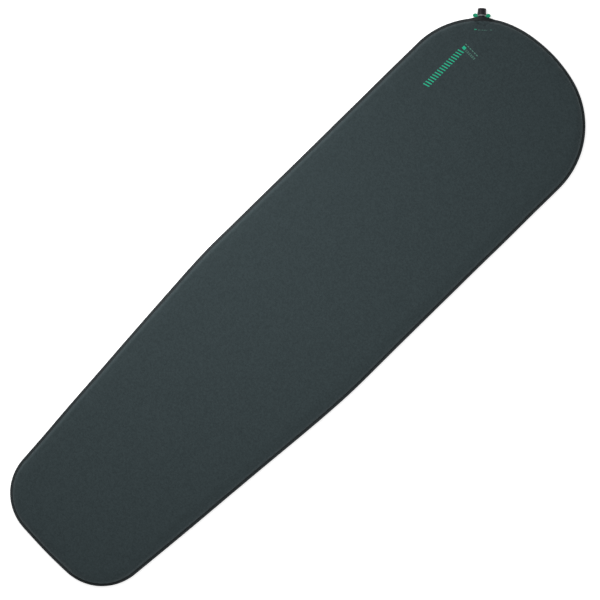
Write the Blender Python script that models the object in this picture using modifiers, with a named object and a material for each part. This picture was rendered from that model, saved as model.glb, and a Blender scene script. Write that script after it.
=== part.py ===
"""Self-inflating sleeping pad: two welded fabric faces, a foam core and a corner valve.

Metres, +Z up, +Y towards the head. The origin is the middle of the underside.
Every valve piece is modelled on the valve's own axis: its local Z points out of the pad
and its local Y points up, and the empty "valve_axis" carries that frame.
"""

from math import acos, atan2, cos, pi, radians, sin, sqrt

import bmesh
import bpy
from mathutils import Matrix, Vector

MM = 0.001
GAP = 0.3 * MM  # room between pieces that touch

# Pad outline, seen from above
LENGTH = 1.800
WIDTH = 0.516
THICKNESS = 0.025
HEAD_RADIUS = 0.375
HEAD_CORNER_RADIUS = 0.224
SHOULDER_RADIUS = 0.302
TAPER_HALF_WIDTH = 0.1943  # half width where the tapered sides would meet the foot line
TAPER_SLOPE = 0.0805
FOOT_CORNER_RADIUS = 0.132
FOOT_RADIUS = 1.76

# Pad edge
FABRIC = 0.4 * MM
FLANGE = 7.0 * MM  # welded margin
EDGE_ROUND = 12.0 * MM  # from the weld to the flat face
EDGE_STEPS = 5
MIDDLE = THICKNESS / 2
FOAM_INSET = 8.2 * MM
NOTCH_WIDTH = 88.0 * MM  # room in the foam for the valve
NOTCH_DEPTH = 31.0 * MM
NOTCH_CORNER_RADIUS = 12.0 * MM

# Valve place
VALVE_BEARING = radians(43.5)  # from +Y towards -X, about the head corner's centre
VALVE_STAND_OFF = 3.5 * MM  # from the plain outline to the outer face of the base
TENT_HALF_WIDTH = 42.0 * MM  # stretch of edge that rises over the base
TENT_HEIGHT = 9.5 * MM
TENT_BULGE = 3.0 * MM
TENT_SIDE_STEPS = (2, 14, 6)  # before, on and after that stretch

# Valve base
BOAT_HALF_WIDTH = 34.0 * MM
BOAT_HALF_HEIGHT = 9.0 * MM
BOAT_TIP_HALF_HEIGHT = 0.4 * MM
BOAT_BACK = -15.0 * MM
SOCKET_RADIUS = 8.8 * MM
BORE_RADIUS = 7.4 * MM
GROOVE_RADIUS = BORE_RADIUS + 0.6 * MM  # takes the collar's snap ridge
SEAT_RADIUS = 4.9 * MM
SEAT_TOP = -17.5 * MM
BASE_END = -19.0 * MM

# Turning collar
SLEEVE_RADIUS = BORE_RADIUS - GAP
SLEEVE_END = -9.5 * MM
CAM_BORE_RADIUS = 5.4 * MM
COLLAR_FLANGE_RADIUS = 9.2 * MM
COLLAR_FLANGE_BOTTOM = 0.4 * MM
COLLAR_FLANGE_TOP = 1.9 * MM
NECK_RADIUS = 5.4 * MM
NECK_BORE_RADIUS = 4.2 * MM
NECK_TOP = 13.0 * MM
SEAL_FLOOR_RADIUS = 5.6 * MM
SEAL_WIRE_RADIUS = 0.6 * MM
WING_CENTRE = (16.2 * MM, 3.6 * MM)
WING_HALF_SIZE = (6.3 * MM, 4.8 * MM)
WING_HALF_THICKNESS = 1.9 * MM
WING_SQUARENESS = 2.5  # 2 would be an ellipse
WING_STEPS = 24
CAM_START = radians(15)
CAM_TOP = -5.6 * MM
CAM_STEPS = 12

# Mouthpiece
KNOB_RADIUS = 11.3 * MM
KNOB_BOTTOM = 5.3 * MM
KNOB_TOP = 21.3 * MM
KNOB_BORE_RADIUS = 5.8 * MM
OUTLET_RADIUS = 3.5 * MM
FLUTES = 18
FLUTE_RADIUS = 0.8 * MM
FLUTE_CENTRE_RADIUS = 11.45 * MM
FLUTE_BOTTOM = 7.0 * MM

# One-way valve
POPPET_LIFT = 3.5 * MM  # over a quarter turn of the wings
BAR_TOP = -6.3 * MM
BAR_HEIGHT = 1.2 * MM
BAR_HALF_LENGTH = 6.8 * MM
STEM_HALF_SIDE = 1.0 * MM
DISC_RADIUS = 6.4 * MM
DISC_TOP = -20.6 * MM
DISC_BOTTOM = -21.8 * MM
SPRING_TURNS = 4
SPRING_RADIUS = 2.3 * MM
SPRING_WIRE_RADIUS = 0.25 * MM
SPRING_BOTTOM = -14.4 * MM
SPRING_TOP = -8.1 * MM
SPRING_STEPS = 12  # in a turn

ROUND_STEPS = 32
FAR_AWAY = 1.0


# Scene and materials

def clear_scene():
    for old in list(bpy.data.objects):
        bpy.data.objects.remove(old)


def new_collection(name):
    collection = bpy.data.collections.new(name)
    bpy.context.scene.collection.children.link(collection)
    return collection


def new_material(name, colour, roughness, metallic=0.0):
    material = bpy.data.materials.new(name)
    material.use_nodes = True
    shader = material.node_tree.nodes["Principled BSDF"]
    shader.inputs["Base Color"].default_value = (*colour, 1.0)
    shader.inputs["Roughness"].default_value = roughness
    shader.inputs["Metallic"].default_value = metallic
    return material


def place(thing, collection, parent=None, material=None, smooth=None):
    """Put an object in its collection, under its parent, with its material and shading."""
    for old in list(thing.users_collection):
        old.objects.unlink(thing)
    collection.objects.link(thing)
    thing.parent = parent
    if material:
        thing.data.materials.clear()
        thing.data.materials.append(material)
    if smooth:
        thing.data.shade_smooth()
        thing.data.set_sharp_from_angle(angle=radians(smooth))
    return thing


def as_tool(thing, parent=None):
    """Hide a cutter or an added shape that only serves a Boolean."""
    place(thing, TOOLS, parent)
    thing.hide_render = True
    thing.display_type = "WIRE"
    return thing


def combine(target, operation, *tools):
    for tool in tools:
        modifier = target.modifiers.new(tool.name, "BOOLEAN")
        modifier.operation = operation
        modifier.solver = "EXACT"
        modifier.object = tool


# Basic shapes

def mesh_object(name, shape):
    mesh = bpy.data.meshes.new(name)
    shape.to_mesh(mesh)
    shape.free()
    return bpy.data.objects.new(name, mesh)


def box(name, size, centre):
    shape = bmesh.new()
    bmesh.ops.create_cube(shape, size=1.0)
    bmesh.ops.scale(shape, vec=size, verts=shape.verts)
    bmesh.ops.translate(shape, vec=centre, verts=shape.verts)
    return mesh_object(name, shape)


def cylinder(name, radius, bottom, top, steps=ROUND_STEPS):
    shape = bmesh.new()
    bmesh.ops.create_cone(
        shape, cap_ends=True, segments=steps, radius1=radius, radius2=radius, depth=top - bottom
    )
    bmesh.ops.translate(shape, vec=(0, 0, (top + bottom) / 2), verts=shape.verts)
    return mesh_object(name, shape)


def turned(name, profile, closed=True, steps=ROUND_STEPS):
    """Screw a profile of (radius, height) points, outer side first and downwards, about Z."""
    shape = bmesh.new()
    points = [shape.verts.new((radius, 0, height)) for radius, height in profile]
    ends = points[1:] + points[:1] if closed else points[1:]
    for start, end in zip(points, ends):
        shape.edges.new((start, end))
    thing = mesh_object(name, shape)
    screw = thing.modifiers.new("turn", "SCREW")
    screw.steps = screw.render_steps = steps
    screw.use_merge_vertices = True
    screw.merge_threshold = 0.00001
    screw.use_smooth_shade = True
    return thing


def millimetres(points):
    return [(radius * MM, height * MM) for radius, height in points]


def flat_outline(name, points, half_depth):
    """A closed outline in XY, extruded by half_depth to both sides, as a mesh."""
    curve = bpy.data.curves.new(name, "CURVE")
    curve.dimensions = "2D"
    curve.fill_mode = "BOTH"
    curve.extrude = half_depth
    spline = curve.splines.new("POLY")
    spline.points.add(len(points) - 1)
    for corner, (x, y) in zip(spline.points, points):
        corner.co = (x, y, 0, 1)
    spline.use_cyclic_u = True
    return curve_to_mesh(bpy.data.objects.new(name, curve))


def curve_to_mesh(thing):
    TOOLS.objects.link(thing)
    bpy.context.view_layer.update()
    evaluated = thing.evaluated_get(bpy.context.evaluated_depsgraph_get())
    mesh = bpy.data.meshes.new_from_object(evaluated)
    shape = bmesh.new()
    shape.from_mesh(mesh)
    bmesh.ops.remove_doubles(shape, verts=shape.verts, dist=0.000001)
    bmesh.ops.recalc_face_normals(shape, faces=shape.faces)
    shape.to_mesh(mesh)
    shape.free()
    name = thing.name
    bpy.data.objects.remove(thing)
    return bpy.data.objects.new(name, mesh)


def torus(name, ring_radius, wire_radius, height):
    bpy.ops.mesh.primitive_torus_add(
        major_radius=ring_radius, minor_radius=wire_radius, major_segments=28, minor_segments=8
    )
    ring = bpy.context.object
    ring.name = name
    ring.location.z = height
    return ring


# Pad outline

def swell(distance, half_width):
    """1 at the middle of a stretch, falling smoothly to 0 at half_width from it."""
    if abs(distance) >= half_width:
        return 0.0
    return (1 + cos(pi * distance / half_width)) / 2


def outline_arcs():
    """Arcs of the +X half, head to foot: centre, radius, and bearings of the outward normal.

    A bearing is measured from +Y towards +X. Straight sides join the arcs.
    """
    half_length = LENGTH / 2
    half_width = WIDTH / 2
    head_y = half_length - HEAD_RADIUS
    corner_x = half_width - HEAD_CORNER_RADIUS
    corner_y = head_y + sqrt((HEAD_RADIUS - HEAD_CORNER_RADIUS) ** 2 - corner_x**2)
    head_end = atan2(corner_x, corner_y - head_y)

    side = Vector((1, -TAPER_SLOPE)).normalized()  # outward normal of the tapered side
    along = Vector((side.y, -side.x))  # down the tapered side, towards the foot
    side_bearing = atan2(side.x, side.y)
    start = Vector((TAPER_HALF_WIDTH, -half_length))
    shoulder_x = half_width - SHOULDER_RADIUS
    shoulder_y = start.y - (SHOULDER_RADIUS + side.x * (shoulder_x - start.x)) / side.y

    foot = Vector((0, FOOT_RADIUS - half_length))
    on_side = start - side * FOOT_CORNER_RADIUS
    reach = FOOT_RADIUS - FOOT_CORNER_RADIUS
    offset = on_side - foot
    half_b = offset.dot(along)
    step = -half_b + sqrt(half_b**2 - offset.length_squared + reach**2)
    corner = on_side + along * step
    foot_bearing = acos((corner.y - foot.y) / reach)

    return [
        (Vector((0, head_y)), HEAD_RADIUS, 0.0, head_end, 5),
        (Vector((corner_x, corner_y)), HEAD_CORNER_RADIUS, head_end, pi / 2, 12),
        (Vector((shoulder_x, shoulder_y)), SHOULDER_RADIUS, pi / 2, side_bearing, 3),
        (corner, FOOT_CORNER_RADIUS, side_bearing, foot_bearing, 9),
        (foot, FOOT_RADIUS, foot_bearing, pi, 2),
    ]


def valve_side_bearings(first, last):
    """Bearings on the valve's corner, closer together where the edge rises over the base."""
    half_tent = TENT_HALF_WIDTH / HEAD_CORNER_RADIUS
    stops = [first, VALVE_BEARING - half_tent, VALVE_BEARING + half_tent, last]
    bearings = []
    for start, end, steps in zip(stops, stops[1:], TENT_SIDE_STEPS):
        bearings += [start + (end - start) * i / steps for i in range(steps)]
    return bearings + [last]


def outline():
    """Points round the pad, counter-clockwise: (position, outward normal, distance from valve)."""
    arcs = outline_arcs()
    halves = []
    for flip in (1, -1):
        half = []
        for number, (centre, radius, first, last, count) in enumerate(arcs):
            bearings = [first + (last - first) * i / count for i in range(count + 1)]
            on_valve_corner = flip < 0 and number == 1
            if on_valve_corner:
                bearings = valve_side_bearings(first, last)
            for bearing in bearings:
                normal = Vector((sin(bearing), cos(bearing)))
                point = centre + normal * radius
                distance = (bearing - VALVE_BEARING) * radius if on_valve_corner else FAR_AWAY
                if not half or (point - half[-1][0]).length > 0.001:
                    half.append((point, normal, distance))
        halves.append([
            (Vector((flip * p.x, p.y)), Vector((flip * n.x, n.y)), d) for p, n, d in half
        ])
    right, left = halves
    return right[-2:0:-1] + left


OUTLINE = outline()


# Soft parts

def edge_ring(inset, rise):
    """Points of one ring: inset from the outline, rise from 0 at the weld to 1 at the face."""
    points = []
    for point, normal, distance in OUTLINE:
        tent = swell(distance, TENT_HALF_WIDTH)
        bulge = TENT_BULGE * tent * max(0.0, 1 - inset / (FLANGE + EDGE_ROUND))
        flat = point - normal * (inset - bulge)
        low = GAP / 2 + TENT_HEIGHT * tent
        high = MIDDLE - FABRIC
        points.append((flat.x, flat.y, low + (high - low) * rise))
    return points


def skin(shape, rings, face_up):
    """Join rings of points into a surface, and close the last ring with a flat face."""
    rows = [[shape.verts.new(point) for point in ring] for ring in rings]
    for lower, upper in zip(rows, rows[1:]):
        for i in range(len(lower)):
            j = (i + 1) % len(lower)
            corners = (lower[i], lower[j], upper[j], upper[i])
            shape.faces.new(corners if face_up else corners[::-1])
    shape.faces.new(rows[-1] if face_up else rows[-1][::-1])
    return rows


def fabric_face(name, material, up):
    """One fabric face: welded flange, rounded edge and flat face, thickened outwards."""
    turn = [pi / 2 * i / EDGE_STEPS for i in range(EDGE_STEPS + 1)]
    places = [(0.0, 0.0)]
    places += [(FLANGE + EDGE_ROUND * (1 - cos(angle)), sin(angle)) for angle in turn]
    rings = []
    for inset, rise in places:
        rings.append([(x, y, MIDDLE + up * z) for x, y, z in edge_ring(inset, rise)])
    shape = bmesh.new()
    skin(shape, rings, up > 0)
    thing = place(mesh_object(name, shape), PAD, None, material, 60)
    solidify = thing.modifiers.new("fabric", "SOLIDIFY")
    solidify.thickness = FABRIC
    solidify.offset = 1.0
    return thing


def foam_core(material):
    """Foam slab with round edges, notched behind the valve."""
    half_height = MIDDLE - FABRIC - GAP
    rings = []
    for i in range(-EDGE_STEPS, EDGE_STEPS + 1):
        angle = pi / 2 * i / EDGE_STEPS
        inset = FOAM_INSET + EDGE_ROUND * (1 - cos(angle))
        height = MIDDLE + half_height * sin(angle)
        rings.append([
            (*(point - normal * inset), height) for point, normal, _ in OUTLINE
        ])
    shape = bmesh.new()
    rows = skin(shape, rings, True)
    shape.faces.new(rows[0][::-1])
    thing = place(mesh_object("foam_core", shape), PAD, None, material, 60)
    notch = as_tool(box("foam_notch", (NOTCH_WIDTH, 2 * THICKNESS, 2 * NOTCH_DEPTH), (0, 0, 0)), VALVE)
    rounding = notch.modifiers.new("round", "BEVEL")
    rounding.width = NOTCH_CORNER_RADIUS
    rounding.segments = 3
    combine(thing, "DIFFERENCE", notch)
    return thing


# Valve

def valve_axis():
    """Empty on the valve's axis, at the outer face of the base."""
    centre, radius = outline_arcs()[1][:2]
    outward = Vector((-sin(VALVE_BEARING), cos(VALVE_BEARING), 0))
    up = Vector((0, 0, 1))
    across = up.cross(outward)
    origin = Vector((-centre.x, centre.y, MIDDLE)) + outward * (radius + VALVE_STAND_OFF)
    frame = Matrix((across, up, outward)).transposed().to_4x4()
    empty = bpy.data.objects.new("valve_axis", None)
    empty.matrix_world = Matrix.Translation(origin) @ frame
    PAD.objects.link(empty)
    bpy.context.view_layer.update()
    return empty


def front_edge(across):
    """Height of the base's front edge along the valve's axis, at a distance across it."""
    sag = across**2 / (2 * HEAD_CORNER_RADIUS)
    return TENT_BULGE * swell(across, TENT_HALF_WIDTH) - VALVE_STAND_OFF - sag


def boat():
    """Boat-shaped weld fitting: its outline from above cut to its outline from the front."""
    steps = [BOAT_HALF_WIDTH * i / 10 for i in range(-10, 11)]
    plan = [(x, front_edge(x)) for x in steps]
    plan += [(0.4 * BOAT_HALF_WIDTH, BOAT_BACK), (-0.4 * BOAT_HALF_WIDTH, BOAT_BACK)]
    rise = BOAT_HALF_HEIGHT - BOAT_TIP_HALF_HEIGHT
    upper = [(x, BOAT_TIP_HALF_HEIGHT + rise * swell(x, BOAT_HALF_WIDTH)) for x in steps]
    front = upper + [(x, -y) for x, y in upper[::-1]]
    hull = as_tool(flat_outline("boat_front", front, abs(BOAT_BACK) + 5 * MM), VALVE)
    seen_from_above = as_tool(flat_outline("boat_plan", plan, BOAT_HALF_HEIGHT + 3 * MM), VALVE)
    seen_from_above.rotation_euler.x = pi / 2
    core = as_tool(cylinder("boat_bore", GROOVE_RADIUS, BOAT_BACK - 10 * MM, 5 * MM), VALVE)
    combine(hull, "INTERSECT", seen_from_above)
    combine(hull, "DIFFERENCE", core)
    return hull


def valve_base(material):
    socket = turned("valve_base", [
        (SOCKET_RADIUS - 0.4 * MM, 0),
        (SOCKET_RADIUS, -0.4 * MM),
        (SOCKET_RADIUS, BASE_END),
        (SEAT_RADIUS, BASE_END),
        (SEAT_RADIUS, SEAT_TOP),
        (BORE_RADIUS, SEAT_TOP),
        (BORE_RADIUS, -5.6 * MM),
        (GROOVE_RADIUS, -5.2 * MM),
        (GROOVE_RADIUS, -3.9 * MM),
        (BORE_RADIUS, -3.5 * MM),
        (BORE_RADIUS, 0),
    ])
    place(socket, PAD, VALVE, material)
    combine(socket, "UNION", boat())
    return socket


def wing(side):
    """One flat rounded wing, standing out across the axis on the side given."""
    points = []
    for i in range(WING_STEPS):
        angle = 2 * pi * i / WING_STEPS
        corners = abs(cos(angle)) ** WING_SQUARENESS + abs(sin(angle)) ** WING_SQUARENESS
        reach = corners ** (-1 / WING_SQUARENESS)
        x = WING_CENTRE[0] + WING_HALF_SIZE[0] * reach * cos(angle)
        y = WING_CENTRE[1] + WING_HALF_SIZE[1] * reach * sin(angle)
        points.append((x, y))
    lobe = flat_outline("wing_" + side, points, WING_HALF_THICKNESS)
    lobe.rotation_euler = (pi / 2, 0, 0) if side == "left" else (pi / 2, 0, pi)
    rounding = lobe.modifiers.new("round", "BEVEL")
    rounding.width = 0.7 * MM
    rounding.segments = 2
    rounding.limit_method = "ANGLE"
    rounding.angle_limit = radians(50)
    return as_tool(lobe, VALVE)


def cam_notch(name, start):
    """Space that the poppet's bar needs under the sleeve while the collar turns."""
    slope = POPPET_LIFT / (pi / 2)
    end = -(CAM_TOP - SLEEVE_END) / slope
    inner, outer = CAM_BORE_RADIUS - 0.4 * MM, SLEEVE_RADIUS + 0.9 * MM
    bottom = SLEEVE_END - 1.5 * MM
    shape = bmesh.new()
    sections = []
    for i in range(CAM_STEPS + 1):
        angle = CAM_START + (end - CAM_START) * i / CAM_STEPS
        top = CAM_TOP + slope * min(angle, 0.0)
        turn = start + angle
        sections.append([
            shape.verts.new((radius * cos(turn), radius * sin(turn), height))
            for radius, height in ((inner, top), (outer, top), (outer, bottom), (inner, bottom))
        ])
    for before, after in zip(sections, sections[1:]):
        for i in range(4):
            j = (i + 1) % 4
            shape.faces.new((before[i], before[j], after[j], after[i]))
    shape.faces.new(sections[0][::-1])
    shape.faces.new(sections[-1])
    bmesh.ops.recalc_face_normals(shape, faces=shape.faces)
    return as_tool(mesh_object(name, shape), VALVE)


def room_round_neck(name, radius, bottom, top):
    """Ring-shaped space that the wings leave free round the neck."""
    room = as_tool(cylinder(name, radius, bottom, top), VALVE)
    core = as_tool(cylinder(name + "_core", 7 * MM, bottom - 1 * MM, top + 1 * MM), VALVE)
    combine(room, "DIFFERENCE", core)
    return room


def wing_collar(material):
    """Turning collar: neck, flange with two wings, and the sleeve whose end is the cam."""
    collar = turned("wing_collar", [
        (NECK_RADIUS, NECK_TOP),
        (NECK_RADIUS, COLLAR_FLANGE_TOP),
        (COLLAR_FLANGE_RADIUS, COLLAR_FLANGE_TOP),
        (COLLAR_FLANGE_RADIUS, COLLAR_FLANGE_BOTTOM),
        (SLEEVE_RADIUS, COLLAR_FLANGE_BOTTOM),
        (SLEEVE_RADIUS, -0.9 * MM),
        (SEAL_FLOOR_RADIUS, -0.9 * MM),
        (SEAL_FLOOR_RADIUS, -2.7 * MM),
        (SLEEVE_RADIUS, -2.7 * MM),
        (SLEEVE_RADIUS, -4.0 * MM),
        (SLEEVE_RADIUS + 0.5 * MM, -4.3 * MM),
        (SLEEVE_RADIUS + 0.5 * MM, -4.8 * MM),
        (SLEEVE_RADIUS, -5.2 * MM),
        (SLEEVE_RADIUS, SLEEVE_END),
        (CAM_BORE_RADIUS, SLEEVE_END),
        (CAM_BORE_RADIUS, -4.8 * MM),
        (NECK_BORE_RADIUS, -3.6 * MM),
        (NECK_BORE_RADIUS, NECK_TOP),
    ])
    place(collar, PAD, VALVE, material)
    arm_size = (9.0 * MM, 2.6 * MM, COLLAR_FLANGE_TOP - COLLAR_FLANGE_BOTTOM)
    arm_height = (COLLAR_FLANGE_TOP + COLLAR_FLANGE_BOTTOM) / 2
    for side, facing in (("left", 1), ("right", -1)):
        arm = as_tool(box("arm_" + side, arm_size, (facing * 11.5 * MM, 0, arm_height)), VALVE)
        combine(collar, "UNION", arm, wing(side))
    knob_room = room_round_neck("knob_room", KNOB_RADIUS + 0.6 * MM, KNOB_BOTTOM - 0.4 * MM, 12 * MM)
    ring_room = room_round_neck("ring_room", 9.6 * MM, 2.0 * MM, 5.2 * MM)
    combine(collar, "DIFFERENCE", knob_room, ring_room)
    combine(collar, "DIFFERENCE", cam_notch("cam_left", 0), cam_notch("cam_right", pi))
    return collar


def collar_seal(material):
    ring = torus("collar_seal", (SEAL_FLOOR_RADIUS + BORE_RADIUS) / 2, SEAL_WIRE_RADIUS, -1.8 * MM)
    return place(ring, PAD, VALVE, material, 80)


def neck_ring(material):
    ring = turned("neck_ring", millimetres([
        (8.9, 5.0), (9.3, 4.6), (9.3, 2.6), (8.9, 2.2), (5.7, 2.2), (5.7, 5.0)
    ]))
    return place(ring, PAD, VALVE, material)


def spokes(name, inner, outer, width, bottom, top):
    """Three radial bars from the hub to the ring of a spider."""
    bars = []
    for number in range(3):
        bar = box(
            f"{name}_spoke_{number + 1}",
            (outer - inner, width, top - bottom),
            ((outer + inner) / 2, 0, (top + bottom) / 2),
        )
        bar.rotation_euler.z = pi / 2 + 2 * pi * number / 3
        bars.append(as_tool(bar, VALVE))
    return bars


def stem_plug(material):
    """Fixed plug in the mouthpiece's outlet, on a spider that sits in the neck."""
    ring = turned("stem_plug", millimetres([
        (5.2, 14.2), (5.2, 13.3), (3.9, 13.3), (3.9, 10.5), (3.1, 10.5), (3.1, 14.2)
    ]), steps=24)
    place(ring, PAD, VALVE, material)
    pin = as_tool(turned("plug_pin", millimetres([
        (0, 19.0), (2.4, 19.0), (3.2, 18.2), (3.2, 16.2), (1.5, 14.8), (1.5, 11.0), (0, 11.0)
    ]), closed=False, steps=24), VALVE)
    combine(ring, "UNION", pin, *spokes("plug", 1.0 * MM, 3.5 * MM, 1.0 * MM, 11.4 * MM, 13.8 * MM))
    return ring


def mouthpiece(material):
    """Ribbed twist knob: skirt outside, tube on the neck inside, outlet in its top."""
    knob = turned("mouthpiece", [
        (6.2 * MM, KNOB_TOP),
        (9.7 * MM, KNOB_TOP),
        (10.5 * MM, KNOB_TOP - 0.5 * MM),
        (10.8 * MM, KNOB_TOP - 1.4 * MM),
        (KNOB_RADIUS, KNOB_BOTTOM + 1.2 * MM),
        (KNOB_RADIUS - 0.3 * MM, KNOB_BOTTOM),
        (9.9 * MM, KNOB_BOTTOM),
        (9.5 * MM, 18.8 * MM),
        (8.3 * MM, 18.8 * MM),
        (8.3 * MM, KNOB_BOTTOM),
        (KNOB_BORE_RADIUS, KNOB_BOTTOM),
        (KNOB_BORE_RADIUS, 7.0 * MM),
        (7.2 * MM, 7.0 * MM),
        (7.2 * MM, 8.8 * MM),
        (KNOB_BORE_RADIUS, 8.8 * MM),
        (KNOB_BORE_RADIUS, 16.0 * MM),
        (5.0 * MM, 16.8 * MM),
        (OUTLET_RADIUS, 16.8 * MM),
        (OUTLET_RADIUS, 19.4 * MM),
    ], steps=36)
    place(knob, PAD, VALVE, material)
    shape = bmesh.new()
    for number in range(FLUTES):
        made = bmesh.ops.create_cone(
            shape, cap_ends=True, segments=8,
            radius1=FLUTE_RADIUS, radius2=FLUTE_RADIUS, depth=KNOB_TOP,
        )
        angle = 2 * pi * number / FLUTES
        x, y = FLUTE_CENTRE_RADIUS * cos(angle), FLUTE_CENTRE_RADIUS * sin(angle)
        bmesh.ops.translate(shape, vec=(x, y, FLUTE_BOTTOM + KNOB_TOP / 2), verts=made["verts"])
    flutes = as_tool(mesh_object("knob_flutes", shape), VALVE)
    combine(knob, "DIFFERENCE", flutes)
    return knob


def mouth_seal(material):
    ring = torus("mouth_seal", 6.3 * MM, SEAL_WIRE_RADIUS, 7.9 * MM)
    return place(ring, PAD, VALVE, material, 80)


def poppet(material):
    """Disc inside the pad, square stem through the seat, and the bar that the cam pushes."""
    disc = turned("poppet", [
        (0, DISC_TOP),
        (DISC_RADIUS - 0.5 * MM, DISC_TOP),
        (DISC_RADIUS, DISC_TOP - 0.4 * MM),
        (DISC_RADIUS, DISC_BOTTOM + 0.4 * MM),
        (DISC_RADIUS - 0.5 * MM, DISC_BOTTOM),
        (0, DISC_BOTTOM),
    ], closed=False, steps=24)
    place(disc, PAD, VALVE, material)
    stem_top = BAR_TOP - BAR_HEIGHT / 2
    stem_bottom = (DISC_TOP + DISC_BOTTOM) / 2
    stem = as_tool(box(
        "poppet_stem",
        (2 * STEM_HALF_SIDE, 2 * STEM_HALF_SIDE, stem_top - stem_bottom),
        (0, 0, (stem_top + stem_bottom) / 2),
    ), VALVE)
    bar = as_tool(box(
        "poppet_bar", (2 * BAR_HALF_LENGTH, 2 * MM, BAR_HEIGHT), (0, 0, BAR_TOP - BAR_HEIGHT / 2)
    ), VALVE)
    combine(disc, "UNION", stem, bar)
    return disc


def poppet_seal(material):
    washer = turned("poppet_seal", millimetres([
        (5.8, -19.3), (6.1, -19.6), (6.1, -20.3), (1.8, -20.3), (1.8, -19.3)
    ]), steps=24)
    return place(washer, PAD, VALVE, material)


def poppet_guide(material):
    """Spider in the base's bore, with a square hole that keeps the stem from turning."""
    ring = turned("poppet_guide", millimetres([
        (7.1, -15.6), (7.1, -17.2), (5.4, -17.2), (5.4, -15.6)
    ]), steps=24)
    place(ring, PAD, VALVE, material)
    hub = as_tool(cylinder("guide_hub", 2.6 * MM, -17.2 * MM, -15.0 * MM, 16), VALVE)
    hole = as_tool(box("guide_hole", (2.6 * MM, 2.6 * MM, 6 * MM), (0, 0, -16 * MM)), VALVE)
    combine(ring, "UNION", hub, *spokes("guide", 2.0 * MM, 6.0 * MM, 1.4 * MM, -16.9 * MM, -15.8 * MM))
    combine(ring, "DIFFERENCE", hole)
    return ring


def poppet_spring(material):
    """Light coil between the guide's hub and the bar."""
    curve = bpy.data.curves.new("poppet_spring", "CURVE")
    curve.dimensions = "3D"
    curve.bevel_depth = SPRING_WIRE_RADIUS
    curve.bevel_resolution = 1
    curve.use_fill_caps = True
    spline = curve.splines.new("POLY")
    count = SPRING_TURNS * SPRING_STEPS
    spline.points.add(count)
    for i, point in enumerate(spline.points):
        angle = 2 * pi * i / SPRING_STEPS
        height = SPRING_BOTTOM + (SPRING_TOP - SPRING_BOTTOM) * i / count
        point.co = (SPRING_RADIUS * cos(angle), SPRING_RADIUS * sin(angle), height, 1)
    return place(bpy.data.objects.new("poppet_spring", curve), PAD, VALVE, material)


clear_scene()
PAD = new_collection("sleeping_pad")
TOOLS = new_collection("tools")
VALVE = valve_axis()

face_cloth = new_material("face_cloth", (0.037, 0.051, 0.054), 0.85)
base_cloth = new_material("base_cloth", (0.012, 0.014, 0.015), 0.9)
foam = new_material("foam", (0.75, 0.62, 0.35), 0.95)
black_plastic = new_material("black_plastic", (0.012, 0.011, 0.014), 0.45)
green_plastic = new_material("green_plastic", (0.007, 0.30, 0.16), 0.4)
grey_plastic = new_material("grey_plastic", (0.16, 0.17, 0.18), 0.4)
rubber = new_material("rubber", (0.02, 0.02, 0.02), 0.7)
silicone = new_material("silicone", (0.55, 0.55, 0.52), 0.5)
steel = new_material("steel", (0.6, 0.6, 0.6), 0.3, 1.0)

fabric_face("top_fabric", face_cloth, 1)
fabric_face("bottom_fabric", base_cloth, -1)
foam_core(foam)
valve_base(black_plastic)
wing_collar(green_plastic)
collar_seal(rubber)
neck_ring(grey_plastic)
stem_plug(black_plastic)
mouthpiece(black_plastic)
mouth_seal(rubber)
poppet(black_plastic)
poppet_seal(silicone)
poppet_guide(black_plastic)
poppet_spring(steel)
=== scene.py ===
"""Looks of a self-inflating sleeping pad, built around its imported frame.

Metres, in the frame's own axes: +Z up, +Y towards the head. The pad's two fabric faces are
triangulated sheets with a welded margin, inflated by a cloth simulation. The top one then gets
a hollow and creases behind the valve, and printed marks. The knob, collar, ring and spring are
made again at a fine resolution, and four hidden valve pieces get rounded edges.
"""

from math import acos, atan2, ceil, cos, pi, radians, sin, sqrt

import bmesh
import bpy
import numpy as np
from mathutils import Matrix, Vector, geometry, noise
from mathutils.bvhtree import BVHTree


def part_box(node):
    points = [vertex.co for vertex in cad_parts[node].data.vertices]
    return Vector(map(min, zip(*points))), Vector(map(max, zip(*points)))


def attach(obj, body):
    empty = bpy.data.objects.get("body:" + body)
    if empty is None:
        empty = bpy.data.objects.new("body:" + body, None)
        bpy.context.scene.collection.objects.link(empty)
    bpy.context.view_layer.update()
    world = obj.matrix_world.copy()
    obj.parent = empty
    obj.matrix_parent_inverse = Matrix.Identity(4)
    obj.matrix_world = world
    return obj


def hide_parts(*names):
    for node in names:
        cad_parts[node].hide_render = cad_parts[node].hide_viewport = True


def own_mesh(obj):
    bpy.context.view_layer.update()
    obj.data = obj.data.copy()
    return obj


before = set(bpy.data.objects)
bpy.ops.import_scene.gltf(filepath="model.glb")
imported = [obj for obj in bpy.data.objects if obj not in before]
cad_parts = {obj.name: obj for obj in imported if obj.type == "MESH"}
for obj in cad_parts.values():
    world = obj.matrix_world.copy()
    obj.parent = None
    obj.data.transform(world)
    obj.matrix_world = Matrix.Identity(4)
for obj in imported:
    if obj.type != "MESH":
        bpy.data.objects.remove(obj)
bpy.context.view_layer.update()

MM = 0.001
LOW, HIGH = (Vector(corner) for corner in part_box("top_fabric"))
FLOOR_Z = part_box("bottom_fabric")[0].z

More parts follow.
